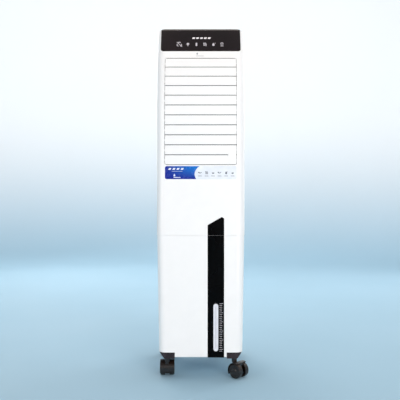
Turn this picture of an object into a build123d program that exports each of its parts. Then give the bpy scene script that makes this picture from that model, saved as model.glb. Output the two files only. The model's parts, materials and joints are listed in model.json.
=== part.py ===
from build123d import *

import os
from math import asin, cos, degrees, radians, sin, sqrt

# Tower evaporative cooler on casters.
#
# A white housing with a shuttered outlet and a black control panel stands on a water tank with
# four twin-wheel casters. All sizes are in millimetres. The frame has +Z up, the front faces -Y,
# and the origin is on the floor under the middle of the cooler.

# ---- driving dimensions ----------------------------------------------------------------------
WIDTH, DEPTH, HEIGHT = 300.0, 340.0, 1206.0
HALF_W, HALF_D = WIDTH / 2, DEPTH / 2
CORNER_R, TOP_R, WALL = 28.0, 14.0, 3.0
TANK_BASE, SEAM, SEAM_GAP = 70.0, 484.0, 0.6
TANK_STEP, TANK_DRAFT = 1.0, 6.6        # tank inset at the seam, extra inset at its base
BEND_Z, BEND_R = 880.0, 700.0           # the front face leans back on this arc above BEND_Z
REAR_SPLIT = 100.0                      # parting plane of front and rear housing
GRILLE_HALF, GRILLE_LOW, GRILLE_CORNER, SLATS = 122.5, 723.0, 8.0, 11
GRILLE_LEAN = radians(17.54)            # lean of the front face at the top of the grille
PANEL_HALF, PANEL_LOW = 138.0, 1117.0
STRIP_LEFT, STRIP_RIGHT = 23.4, 79.0    # black strip on the front
STRIP_TIP_LEFT, STRIP_TIP_RIGHT, STRIP_TIP_X, STRIP_TIP = 519.3, 541.0, 71.5, 546.6    # its slanted top
RUN_GAP = 0.05                          # radial clearance of every turning fit
CLEAR = 0.3                             # gap between neighbouring pieces

os.makedirs("parts", exist_ok=True)


# ---- shared shapes ---------------------------------------------------------------------------
def front_arc(depth, lean):
    """Point on the leaning front face, a given depth under it, at a lean angle in radians."""
    radius = BEND_R - depth
    return (BEND_R - HALF_D - radius * cos(lean), BEND_Z + radius * sin(lean))


def housing_form(inset):
    """Closed outer shape of the upper housing, shrunk by an inset on every side but its base."""
    low, high = SEAM + SEAM_GAP / 2 - inset, HEIGHT - inset
    lean = asin((high - BEND_Z) / (BEND_R - inset))
    top_y = front_arc(inset, lean)[0]
    front, back = inset - HALF_D, HALF_D - inset
    with BuildPart() as form:
        with BuildSketch(Plane.YZ.offset(inset - HALF_W)):
            with BuildLine():
                Line((front, low), (front, BEND_Z))
                CenterArc((BEND_R - HALF_D, BEND_Z), BEND_R - inset, 180, -degrees(lean))
                Line((top_y, high), (back, high))
                Line((back, high), (back, low))
                Line((back, low), (front, low))
            make_face()
        extrude(amount=WIDTH - 2 * inset)
        uprights = form.edges().filter_by(
            lambda e: abs(e.center().X) > HALF_W - inset - 0.1 and low + 1 < e.center().Z < high - 1)
        fillet(uprights, CORNER_R - inset)
        fillet(form.faces().sort_by(Axis.Z)[-1].edges(), TOP_R - inset)
    return form.part


def tank_form(inset):
    """Closed drafted shape of the tank, shrunk by an inset on every side but its open top."""
    draft = TANK_STEP + TANK_DRAFT
    with BuildPart() as form:
        with BuildSketch(Plane.XY.offset(TANK_BASE + inset)):
            RectangleRounded(WIDTH - 2 * (draft + inset), DEPTH - 2 * (draft + inset), 24 - inset)
        with BuildSketch(Plane.XY.offset(SEAM - SEAM_GAP / 2 + inset)):
            RectangleRounded(WIDTH - 2 * (TANK_STEP + inset), DEPTH - 2 * (TANK_STEP + inset), 27 - inset)
        loft()
        fillet(form.faces().sort_by(Axis.Z)[0].edges(), 4)
    return form.part


OUTER = housing_form(0)
INNER = housing_form(WALL)
PANEL_BACK = housing_form(2.5)          # back of the control panel
PANEL_SEAT = housing_form(2.8)          # face that the control panel lies on
PANEL_WALL = housing_form(5.2)          # inner face of the wall behind the panel

# ---- front housing ---------------------------------------------------------------------------
GRILLE_HIGH = front_arc(0, GRILLE_LEAN)[1]
GRIP_Y, GRIP_Z, GRIP_LEN, GRIP_TALL, GRIP_DEEP, GRIP_WALL = 40.0, 1144.0, 100.0, 34.0, 24.0, 2.5
PANEL_WRAP_Y = -60.0                    # the panel wraps over the top edge to here
COVER_HALF, COVER_FRONT, COVER_BACK = 118.0, -48.0, 84.0
POST_X, POST_HEIGHTS = 128.0, (525.0, 850.0, 1165.0)
SCREW_SEAT = 161.5                      # y of the face under the screw heads
BOARD_WINDOW = (116.0, 30.0, 1158.0)    # width, height and middle of the opening behind the panel


def panel_zone(form, inner_form, margin, back_y):
    """The part of a shell between two housing forms that lies in the control panel's outline."""
    with BuildPart() as zone:
        add(form)
        add(inner_form, mode=Mode.SUBTRACT)
        with BuildSketch(Plane.XZ.offset(-back_y)):
            with Locations((0, PANEL_LOW - margin)):
                RectangleRounded(2 * (PANEL_HALF + margin), 240, 10 + margin,
                                 align=(Align.CENTER, Align.MIN))
        extrude(amount=150, mode=Mode.INTERSECT)
    return zone.part


def grille_outline(grow):
    """Front view of the outlet opening, grown by a margin."""
    middle, tall = (GRILLE_LOW + GRILLE_HIGH) / 2, GRILLE_HIGH - GRILLE_LOW + 1.2
    with Locations((0, middle)):
        RectangleRounded(2 * (GRILLE_HALF + grow), tall + 2 * grow, GRILLE_CORNER + grow)


PANEL_SEAT_ZONE = panel_zone(OUTER, PANEL_SEAT, CLEAR, PANEL_WRAP_Y + CLEAR)
PANEL_WALL_ZONE = panel_zone(INNER, PANEL_WALL, 4, PANEL_WRAP_Y + 4)

with BuildPart() as front_housing:
    add(OUTER)
    add(INNER, mode=Mode.SUBTRACT)
    # thicker wall behind the control panel, and the seat that the panel drops into
    add(PANEL_WALL_ZONE)
    add(PANEL_SEAT_ZONE, mode=Mode.SUBTRACT)
    with BuildSketch(Plane.XZ.offset(60)):
        with Locations((0, BOARD_WINDOW[2])):
            RectangleRounded(BOARD_WINDOW[0], BOARD_WINDOW[1], 4)
    extrude(amount=110, mode=Mode.SUBTRACT)
    # outlet opening
    with BuildSketch(Plane.XZ.offset(100)):
        grille_outline(0)
    extrude(amount=90, mode=Mode.SUBTRACT)
    # recessed hand grips, one in each side
    for side in (-1, 1):
        cup_x = side * (HALF_W - GRIP_DEEP / 2 - 1)
        with Locations((cup_x, GRIP_Y, GRIP_Z)):
            Box(GRIP_DEEP, GRIP_LEN + 2 * GRIP_WALL, GRIP_TALL + 2 * GRIP_WALL)
        with Locations((cup_x + side * GRIP_WALL, GRIP_Y, GRIP_Z)):
            Box(GRIP_DEEP + 0.2, GRIP_LEN, GRIP_TALL, mode=Mode.SUBTRACT)
    # opening in the top for the cover plate, with a ledge under it
    with BuildSketch(Plane.XY.offset(HEIGHT - WALL - 2)):
        with Locations((0, (COVER_FRONT + COVER_BACK) / 2)):
            RectangleRounded(2 * COVER_HALF + 8, COVER_BACK - COVER_FRONT + 8, 14)
    extrude(amount=2.2)
    with BuildSketch(Plane.XY.offset(HEIGHT - WALL)):
        with Locations((0, (COVER_FRONT + COVER_BACK) / 2)):
            RectangleRounded(2 * COVER_HALF, COVER_BACK - COVER_FRONT, 10)
    extrude(amount=10, mode=Mode.SUBTRACT)
    with BuildSketch(Plane.XY.offset(HEIGHT - 30)):
        with Locations((0, (COVER_FRONT + COVER_BACK) / 2)):
            RectangleRounded(2 * COVER_HALF - 12, COVER_BACK - COVER_FRONT - 12, 6)
    extrude(amount=40, mode=Mode.SUBTRACT)
    # seat for the upper black strip
    with BuildSketch(Plane.XZ.offset(HALF_D - 1.2)):
        with BuildLine():
            Polyline((STRIP_LEFT - 0.2, SEAM - 2), (STRIP_RIGHT + 0.2, SEAM - 2),
                     (STRIP_RIGHT + 0.2, STRIP_TIP_RIGHT + 0.2), (STRIP_TIP_X + 0.1, STRIP_TIP + 0.5),
                     (STRIP_LEFT - 0.2, STRIP_TIP_LEFT + 0.3), (STRIP_LEFT - 0.2, SEAM - 2))
        make_face()
    extrude(amount=5, mode=Mode.SUBTRACT)
    # posts that the rear housing is screwed to, tied to the side walls
    split(bisect_by=Plane.XZ.offset(-REAR_SPLIT), keep=Keep.TOP)
    for side in (-1, 1):
        for height in POST_HEIGHTS:
            with Locations((side * POST_X, REAR_SPLIT - 24, height)):
                Cylinder(5.5, SCREW_SEAT - 6 - REAR_SPLIT + 24, rotation=(-90, 0, 0),
                         align=(Align.CENTER, Align.CENTER, Align.MIN))
            with Locations((side * (POST_X + 11), REAR_SPLIT - 13, height)):
                Box(18, 22, 3)
            with Locations((side * POST_X, REAR_SPLIT, height)):
                Cylinder(1.9, 80, rotation=(-90, 0, 0), align=(Align.CENTER, Align.CENTER, Align.MIN),
                         mode=Mode.SUBTRACT)
front_housing.part.label = "front_housing"
export_step(front_housing.part, "parts/front_housing.step")

# ---- rear housing ----------------------------------------------------------------------------
INLET_HALF, INLET_LOW, INLET_HIGH = 116.0, 576.0, 1076.0
DOOR_HALF, DOOR_LOW, DOOR_TALL, DOOR_AXIS_R = 55.0, 500.0, 50.0, 3.0
GLAND_X, GLAND_Z, GLAND_R = 112.0, 516.0, 7.0
PAD_LOW, PAD_HIGH, PAD_HALF = 575.0, 1080.0, 118.0
TRAY_LOW, TRAY_TALL, TRAY_HALF, TRAY_FRONT, TRAY_DEPTH = 1086.0, 22.0, 122.0, 112.0, 46.0

with BuildPart() as rear_housing:
    add(OUTER)
    add(INNER, mode=Mode.SUBTRACT)
    split(bisect_by=Plane.XZ.offset(-REAR_SPLIT - 0.5), keep=Keep.BOTTOM)
    # ledge that the rear grille rests on
    with Locations((0, HALF_D - WALL, (INLET_LOW + INLET_HIGH) / 2)):
        Box(2 * INLET_HALF + 8, 2 * WALL, INLET_HIGH - INLET_LOW + 8)
        Box(2 * INLET_HALF - 12, 20, INLET_HIGH - INLET_LOW - 12, mode=Mode.SUBTRACT)
    with Locations((0, HALF_D, (INLET_LOW + INLET_HIGH) / 2)):
        Box(2 * INLET_HALF, 2 * WALL, INLET_HIGH - INLET_LOW, mode=Mode.SUBTRACT)
    # shelf under the cooling pad, with drain slots, and brackets under the water tray
    with Locations((0, HALF_D - WALL, PAD_LOW - 4)):
        Box(2 * PAD_HALF, 50, 3, align=(Align.CENTER, Align.MAX, Align.MIN))
    with Locations((0, HALF_D - WALL - 30, PAD_LOW - 3)):
        with GridLocations(28, 1, 8, 1):
            Box(14, 8, 10, mode=Mode.SUBTRACT)
    for side in (-1, 1):
        with Locations((side * (TRAY_HALF + 12), TRAY_FRONT + TRAY_DEPTH / 2, TRAY_LOW - 2)):
            Box(32, TRAY_DEPTH, 3, align=(Align.CENTER, Align.CENTER, Align.CENTER))
    # filler opening with hinge cheeks inside the wall
    with Locations((0, HALF_D, DOOR_LOW + DOOR_TALL / 2)):
        Box(2 * DOOR_HALF + 1.2, 30, DOOR_TALL + 1, mode=Mode.SUBTRACT)
    for side in (-1, 1):
        with Locations((side * (DOOR_HALF + 3.6), HALF_D - 6, DOOR_LOW + 7)):
            Box(6, 11, 14)
        with Locations((side * (DOOR_HALF + 3), HALF_D - DOOR_AXIS_R, DOOR_LOW + DOOR_AXIS_R + 0.2)):
            Cylinder(1.5 + RUN_GAP, 20, rotation=(0, 90, 0), mode=Mode.SUBTRACT)
    # cord gland hole and housing screw holes
    with Locations((GLAND_X, HALF_D, GLAND_Z)):
        Cylinder(GLAND_R, 20, rotation=(90, 0, 0), mode=Mode.SUBTRACT)
    for side in (-1, 1):
        for height in POST_HEIGHTS:
            with Locations((side * POST_X, SCREW_SEAT, height)):
                Cylinder(7, 5, rotation=(90, 0, 0), align=(Align.CENTER, Align.CENTER, Align.MIN))
                Cylinder(7, 2.5, rotation=(-90, 0, 0), align=(Align.CENTER, Align.CENTER, Align.MIN))
                Cylinder(4.6, 20, rotation=(-90, 0, 0), align=(Align.CENTER, Align.CENTER, Align.MIN),
                         mode=Mode.SUBTRACT)
                Cylinder(2.2, 40, rotation=(90, 0, 0), mode=Mode.SUBTRACT)
    split(bisect_by=Plane.XZ.offset(-HALF_D), keep=Keep.TOP)
rear_housing.part.label = "rear_housing"
export_step(rear_housing.part, "parts/rear_housing.step")

with BuildPart() as screws:
    for side in (-1, 1):
        for height in POST_HEIGHTS:
            with Locations((side * POST_X, SCREW_SEAT, height)):
                Cylinder(1.8, 30, rotation=(90, 0, 0), align=(Align.CENTER, Align.CENTER, Align.MIN))
                Cylinder(3.8, 2, rotation=(-90, 0, 0), align=(Align.CENTER, Align.CENTER, Align.MIN))
screws.part.label = "screws"
export_step(screws.part, "parts/screws.step")

with BuildPart() as top_cover:
    with BuildSketch(Plane.XY.offset(HEIGHT - WALL + 0.1)):
        with Locations((0, (COVER_FRONT + COVER_BACK) / 2)):
            RectangleRounded(2 * COVER_HALF - 0.8, COVER_BACK - COVER_FRONT - 0.8, 9.6)
    extrude(amount=WALL - 0.1)
    fillet(top_cover.faces().sort_by(Axis.Z)[-1].edges(), 1)
top_cover.part.label = "top_cover"
export_step(top_cover.part, "parts/top_cover.step")

# ---- control panel and board -----------------------------------------------------------------
control_panel = panel_zone(OUTER, PANEL_BACK, 0, PANEL_WRAP_Y)
control_panel.label = "control_panel"
export_step(control_panel, "parts/control_panel.step")

BOARD_LEAN = radians(23)
board_y, board_z = front_arc(9.5, BOARD_LEAN)
board_plane = Plane(origin=(0, board_y, board_z), x_dir=(1, 0, 0),
                    z_dir=(0, cos(BOARD_LEAN), -sin(BOARD_LEAN)))
with BuildPart() as control_board:
    with BuildSketch(board_plane):
        RectangleRounded(150, 42, 3)
        with GridLocations(140, 32, 2, 2):
            Circle(1.6, mode=Mode.SUBTRACT)
    extrude(amount=1.6)
    # relay, transformer, connectors and a chip on the inner face
    with BuildSketch(board_plane.offset(1.6)):
        with Locations((-48, 2)):
            Rectangle(28, 24)
        with Locations((-8, 6), (10, 6)):
            Rectangle(12, 16)
    extrude(amount=14)
    with BuildSketch(board_plane.offset(1.6)):
        with Locations((36, -2)):
            Rectangle(16, 16)
        with Locations((60, 8), (60, -8)):
            Rectangle(12, 7)
    extrude(amount=4)
control_board.part.label = "control_board"
export_step(control_board.part, "parts/control_board.step")

# ---- tank ------------------------------------------------------------------------------------
TANK_OUTER = tank_form(0)
TANK_INNER = tank_form(WALL)
POCKET_X, POCKET_Y, POCKET_TOP = 88.0, 104.0, 87.0
TONGUE_INSET, TONGUE_TOP = 3.4, 487.0
DRAIN_Z, DRAIN_R, DRAIN_BORE, DRAIN_LEN = 98.0, 10.0, 6.5, 13.0
WINDOW_X, WINDOW_Z, WINDOW_W, WINDOW_H = 51.2, 172.0, 17.0, 162.0
STRIP_SEAT, STRIP_PROUD = 1.2, 0.4

tank_slope = TANK_DRAFT / (SEAM - TANK_BASE)
tank_front_y = -HALF_D + TANK_STEP + TANK_DRAFT
tank_face = Plane(origin=(0, tank_front_y, TANK_BASE), x_dir=(1, 0, 0), z_dir=(0, -1, -tank_slope))
STRIP_TALL = (SEAM - SEAM_GAP / 2 - TANK_BASE) * sqrt(1 + tank_slope ** 2)
drain_y = -tank_front_y + tank_slope * (DRAIN_Z - TANK_BASE)

with BuildPart() as tank_cavity:
    add(TANK_INNER)
    for side_x in (-1, 1):
        for side_y in (-1, 1):
            with Locations((side_x * (POCKET_X + 60 - WALL), side_y * (POCKET_Y + 60 - WALL), TANK_BASE)):
                Box(120, 120, POCKET_TOP + WALL - TANK_BASE, align=(Align.CENTER, Align.CENTER, Align.MIN),
                    mode=Mode.SUBTRACT)

with BuildPart() as water_tank:
    add(TANK_OUTER)
    # tongue that locates the housing and carries the drip deck
    with BuildSketch(Plane.XY.offset(SEAM - 6)):
        RectangleRounded(WIDTH - 2 * TONGUE_INSET, DEPTH - 2 * TONGUE_INSET, CORNER_R - TONGUE_INSET)
    extrude(amount=TONGUE_TOP - SEAM + 6)
    add(tank_cavity.part, mode=Mode.SUBTRACT)
    with BuildSketch(Plane.XY.offset(SEAM - 6.5)):
        RectangleRounded(WIDTH - 2 * TONGUE_INSET - 5, DEPTH - 2 * TONGUE_INSET - 5, CORNER_R - 6)
    extrude(amount=20, mode=Mode.SUBTRACT)
    for side_x in (-1, 1):
        for side_y in (-1, 1):
            with Locations((side_x * (POCKET_X + 60), side_y * (POCKET_Y + 60), TANK_BASE - 20)):
                Box(120, 120, POCKET_TOP - TANK_BASE + 20, align=(Align.CENTER, Align.CENTER, Align.MIN),
                    mode=Mode.SUBTRACT)
    # seat and window slot of the black strip
    with BuildSketch(tank_face.offset(-STRIP_SEAT)):
        with Locations(((STRIP_LEFT + STRIP_RIGHT) / 2, STRIP_TALL / 2)):
            Rectangle(STRIP_RIGHT - STRIP_LEFT + 0.4, STRIP_TALL + 10)
    extrude(amount=6, mode=Mode.SUBTRACT)
    with BuildSketch(tank_face.offset(-10)):
        with Locations((WINDOW_X, WINDOW_Z - TANK_BASE)):
            SlotOverall(WINDOW_H - 4.4, WINDOW_W - 4.4, rotation=90)
    extrude(amount=12, mode=Mode.SUBTRACT)
    # drain spout low in the back wall
    with Locations((0, drain_y - 2, DRAIN_Z)):
        Cylinder(DRAIN_R, DRAIN_LEN + 2, rotation=(-90, 0, 0),
                 align=(Align.CENTER, Align.CENTER, Align.MIN))
        Cylinder(DRAIN_BORE, 60, rotation=(-90, 0, 0), mode=Mode.SUBTRACT)
water_tank.part.label = "water_tank"
export_step(water_tank.part, "parts/water_tank.step")

with BuildPart() as drain_plug:
    with Locations((0, drain_y - 6, DRAIN_Z)):
        Cylinder(DRAIN_BORE - RUN_GAP, DRAIN_LEN + 6.3, rotation=(-90, 0, 0),
                 align=(Align.CENTER, Align.CENTER, Align.MIN))
    with Locations((0, drain_y + DRAIN_LEN + CLEAR, DRAIN_Z)):
        Cylinder(DRAIN_R - 1, 3, rotation=(-90, 0, 0), align=(Align.CENTER, Align.CENTER, Align.MIN))
    with Locations((0, drain_y + DRAIN_LEN + 6, DRAIN_Z)):
        Box(3, 8, 13)
    fillet(drain_plug.edges().filter_by(Axis.X), 1)
drain_plug.part.label = "drain_plug"
export_step(drain_plug.part, "parts/drain_plug.step")

with BuildPart() as trim_lower:
    with BuildSketch(tank_face.offset(-STRIP_SEAT)):
        with Locations(((STRIP_LEFT + STRIP_RIGHT) / 2, STRIP_TALL / 2)):
            Rectangle(STRIP_RIGHT - STRIP_LEFT, STRIP_TALL)
        with Locations((WINDOW_X, WINDOW_Z - TANK_BASE)):
            SlotOverall(WINDOW_H, WINDOW_W, rotation=90, mode=Mode.SUBTRACT)
    extrude(amount=STRIP_SEAT + STRIP_PROUD)
    chamfer(trim_lower.faces().sort_by(Axis.Y)[0].outer_wire().edges(), 0.3)
trim_lower.part.label = "trim_lower"
export_step(trim_lower.part, "parts/trim_lower.step")

with BuildPart() as trim_upper:
    with BuildSketch(Plane.XZ.offset(HALF_D - STRIP_SEAT)):
        with BuildLine():
            Polyline((STRIP_LEFT, SEAM + SEAM_GAP / 2), (STRIP_RIGHT, SEAM + SEAM_GAP / 2),
                     (STRIP_RIGHT, STRIP_TIP_RIGHT), (STRIP_TIP_X, STRIP_TIP), (STRIP_LEFT, STRIP_TIP_LEFT),
                     (STRIP_LEFT, SEAM + SEAM_GAP / 2))
        make_face()
    extrude(amount=STRIP_SEAT + STRIP_PROUD)
    chamfer(trim_upper.faces().sort_by(Axis.Y)[0].outer_wire().edges(), 0.3)
trim_upper.part.label = "trim_upper"
export_step(trim_upper.part, "parts/trim_upper.step")

with BuildPart() as level_window:
    with BuildSketch(tank_face.offset(-STRIP_SEAT)):
        with Locations((WINDOW_X, WINDOW_Z - TANK_BASE)):
            SlotOverall(WINDOW_H - 0.4, WINDOW_W - 0.4, rotation=90)
    extrude(amount=STRIP_SEAT + STRIP_PROUD + 0.2)
    with BuildSketch(tank_face.offset(-WALL - 0.8)):
        with Locations((WINDOW_X, WINDOW_Z - TANK_BASE)):
            SlotOverall(WINDOW_H - 4.8, WINDOW_W - 4.8, rotation=90)
    extrude(amount=WALL + 0.8 - STRIP_SEAT)
level_window.part.label = "level_window"
export_step(level_window.part, "parts/level_window.step")

# ---- drip deck between tank and housing ------------------------------------------------------
HOSE_X, HOSE_Y, HOSE_R, HOSE_WALL = -100.0, 84.0, 6.0, 1.8
DECK_TOP = 490.0
with BuildPart() as drip_deck:
    with BuildSketch(Plane.XY.offset(TONGUE_TOP)):
        RectangleRounded(WIDTH - 8, DEPTH - 8, CORNER_R - 4)
        with Locations((0, 136)):
            RectangleRounded(150, 46, 6, mode=Mode.SUBTRACT)
        with Locations((HOSE_X, HOSE_Y)):
            Circle(HOSE_R + 0.6, mode=Mode.SUBTRACT)
    extrude(amount=DECK_TOP - TONGUE_TOP)
    with BuildSketch(Plane.XY.offset(DECK_TOP)):
        RectangleRounded(WIDTH - 8, DEPTH - 8, CORNER_R - 4)
        RectangleRounded(WIDTH - 12, DEPTH - 12, CORNER_R - 6, mode=Mode.SUBTRACT)
    extrude(amount=6)
    with GridLocations(200, 60, 2, 3):
        with Locations((0, -40, DECK_TOP)):
            Cylinder(2.5, 12, mode=Mode.SUBTRACT)
drip_deck.part.label = "drip_deck"
export_step(drip_deck.part, "parts/drip_deck.step")

# ---- pump and hose ---------------------------------------------------------------------------
PUMP_TOP = 128.0
with BuildPart() as pump:
    with Locations((HOSE_X + 8, HOSE_Y - 12, TANK_BASE + WALL)):
        Box(52, 46, PUMP_TOP - TANK_BASE - WALL, align=(Align.CENTER, Align.CENTER, Align.MIN))
    fillet(pump.edges().filter_by(Axis.Z), 8)
    fillet(pump.faces().sort_by(Axis.Z)[-1].edges(), 4)
    with Locations((HOSE_X + 8, HOSE_Y - 12 - 23, TANK_BASE + 20)):
        with GridLocations(6, 1, 6, 1):
            Box(2.5, 4, 24, mode=Mode.SUBTRACT)
    with Locations((HOSE_X, HOSE_Y, PUMP_TOP - 6)):
        Cylinder(HOSE_R - HOSE_WALL - 0.1, 34, align=(Align.CENTER, Align.CENTER, Align.MIN))
pump.part.label = "pump"
export_step(pump.part, "parts/pump.step")

with BuildPart() as pump_hose:
    with BuildLine():
        FilletPolyline((HOSE_X, HOSE_Y, PUMP_TOP + 1), (HOSE_X, HOSE_Y, TRAY_LOW + 12),
                       (HOSE_X, TRAY_FRONT + 6, TRAY_LOW + 12), radius=18)
    with BuildSketch(Plane.XY.offset(PUMP_TOP + 1)):
        with Locations((HOSE_X, HOSE_Y)):
            Circle(HOSE_R)
            Circle(HOSE_R - HOSE_WALL, mode=Mode.SUBTRACT)
    sweep()
pump_hose.part.label = "pump_hose"
export_step(pump_hose.part, "parts/pump_hose.step")

with BuildPart() as water_tray:
    with Locations((0, TRAY_FRONT + TRAY_DEPTH / 2, TRAY_LOW)):
        Box(2 * TRAY_HALF, TRAY_DEPTH, TRAY_TALL, align=(Align.CENTER, Align.CENTER, Align.MIN))
    offset(amount=-2, openings=water_tray.faces().sort_by(Axis.Z)[-1])
    with Locations((0, TRAY_FRONT + TRAY_DEPTH / 2, TRAY_LOW)):
        with GridLocations(18, 14, 12, 2):
            Cylinder(1.5, 10, mode=Mode.SUBTRACT)
    with Locations((HOSE_X, TRAY_FRONT, TRAY_LOW + 12)):
        Cylinder(HOSE_R + 0.1, 10, rotation=(90, 0, 0), mode=Mode.SUBTRACT)
water_tray.part.label = "water_tray"
export_step(water_tray.part, "parts/water_tray.step")

# ---- cooling pad, filter and rear grille -----------------------------------------------------
with BuildPart() as cooling_pad:
    with Locations((0, 120, PAD_LOW)):
        Box(2 * PAD_HALF - 2, 34, PAD_HIGH - PAD_LOW, align=(Align.CENTER, Align.MIN, Align.MIN))
cooling_pad.part.label = "cooling_pad"
export_step(cooling_pad.part, "parts/cooling_pad.step")

with BuildPart() as dust_filter:
    with Locations((0, 158, (INLET_LOW + INLET_HIGH) / 2)):
        Box(2 * INLET_HALF - 4, 2.6, INLET_HIGH - INLET_LOW - 8)
        with GridLocations(1, (INLET_HIGH - INLET_LOW) / 4, 1, 4):
            with Locations((0, 1.4, 0)):
                Box(2 * INLET_HALF - 14, 2, (INLET_HIGH - INLET_LOW) / 4 - 8, mode=Mode.SUBTRACT)
dust_filter.part.label = "dust_filter"
export_step(dust_filter.part, "parts/dust_filter.step")

GRILLE_BLADES = 25
with BuildPart() as rear_grille:
    grille_mid = (INLET_LOW + INLET_HIGH) / 2
    grille_tall = INLET_HIGH - INLET_LOW - 0.8
    with Locations((0, HALF_D - WALL / 2, grille_mid)):
        Box(2 * INLET_HALF - 0.8, WALL - 0.2, grille_tall)
        Box(2 * INLET_HALF - 22, 10, grille_tall - 22, mode=Mode.SUBTRACT)
        Box(8, WALL - 0.2, grille_tall - 10)
    blade_pitch = (grille_tall - 22) / GRILLE_BLADES
    for blade in range(GRILLE_BLADES):
        blade_z = grille_mid + (blade - (GRILLE_BLADES - 1) / 2) * blade_pitch
        with Locations((0, HALF_D - WALL / 2 - 1, blade_z)):
            Box(2 * INLET_HALF - 18, 5.2, 2, rotation=(38, 0, 0))
    with Locations((0, HALF_D, grille_mid)):
        Box(2 * INLET_HALF, 20, grille_tall, align=(Align.CENTER, Align.MIN, Align.CENTER),
            mode=Mode.SUBTRACT)
    with Locations((0, HALF_D - 1, INLET_LOW + 5.5)):
        Box(26, 6, 6, align=(Align.CENTER, Align.MIN, Align.CENTER))
    fillet(rear_grille.edges().filter_by(Axis.X).sort_by(Axis.Y)[-2:], 1.2)
rear_grille.part.label = "rear_grille"
export_step(rear_grille.part, "parts/rear_grille.step")

# ---- filler door and cord gland --------------------------------------------------------------
door_y, door_z = HALF_D - DOOR_AXIS_R, DOOR_LOW + DOOR_AXIS_R + 0.2
with BuildPart() as filler_door:
    with Locations((0, HALF_D, DOOR_LOW + DOOR_AXIS_R + 0.2)):
        Box(2 * DOOR_HALF, 2.6, DOOR_TALL - 4, align=(Align.CENTER, Align.MAX, Align.MIN))
    with Locations((0, door_y, door_z)):
        Cylinder(DOOR_AXIS_R, 2 * DOOR_HALF, rotation=(0, 90, 0))
        Cylinder(1.5, 2 * DOOR_HALF + 10, rotation=(0, 90, 0))
    # finger notch at the free edge
    with Locations((0, HALF_D, DOOR_LOW + DOOR_TALL - 1)):
        Cylinder(9, 3, rotation=(90, 0, 0), mode=Mode.SUBTRACT)
filler_door.part.label = "filler_door"
export_step(filler_door.part, "parts/filler_door.step")

GLAND_BORE = 3.6
with BuildPart() as cord_gland:
    with BuildSketch(Plane(origin=(GLAND_X, HALF_D, GLAND_Z), x_dir=(1, 0, 0), z_dir=(0, 0, 1))):
        with BuildLine():
            Polyline((GLAND_BORE, -10), (GLAND_R - 0.1, -10), (GLAND_R - 0.1, 0), (10, 0), (10, 3),
                     (6.4, 3.6), (5.2, 13.5), (GLAND_BORE, 13.5), (GLAND_BORE, -10))
        make_face()
    revolve(axis=Axis((GLAND_X, HALF_D, GLAND_Z), (0, 1, 0)))
cord_gland.part.label = "cord_gland"
export_step(cord_gland.part, "parts/cord_gland.step")

# ---- outlet slats, their link bar and the louvre frame -----------------------------------------
SLAT_PITCH = (BEND_Z - GRILLE_LOW + BEND_R * GRILLE_LEAN) / SLATS
SIDE_GAP, SLAT_GAP = 1.2, 2.2           # round the slats, and between neighbouring slats
SLAT_CHORD, SLAT_THICK, SLAT_HALF = SLAT_PITCH - SLAT_GAP, 2.4, GRILLE_HALF - SIDE_GAP
PIVOT_DEPTH, PIVOT_R, CRANK = 6.0, 1.5, 14.0      # slat pivot under the front face, crank arm
ARM_THICK, BAR_THICK, FRAME_IN, FRAME_WALL = 2.8, 2.7, 128.0, 3.0
BAR_X = -SLAT_HALF - ARM_THICK - 0.4              # right face of the link bar
FRAME_LOW, FRAME_HIGH, FRAME_BACK = 712.0, 1103.0, -58.0
TAB_SLAT, TAB_X, TAB_W, TAB_LOW, TAB_TOP = 2, 106.0, 27.0, -38.0, -12.0


def slat_pivot(number):
    """Pivot point (y, z) and lean of a slat, counted from 1 at the bottom."""
    run = (number - 0.5) * SLAT_PITCH - (BEND_Z - GRILLE_LOW)
    lean = max(run / BEND_R, 0)
    pivot_y, pivot_z = front_arc(PIVOT_DEPTH, lean)
    return pivot_y, pivot_z + min(run, 0), lean


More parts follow.
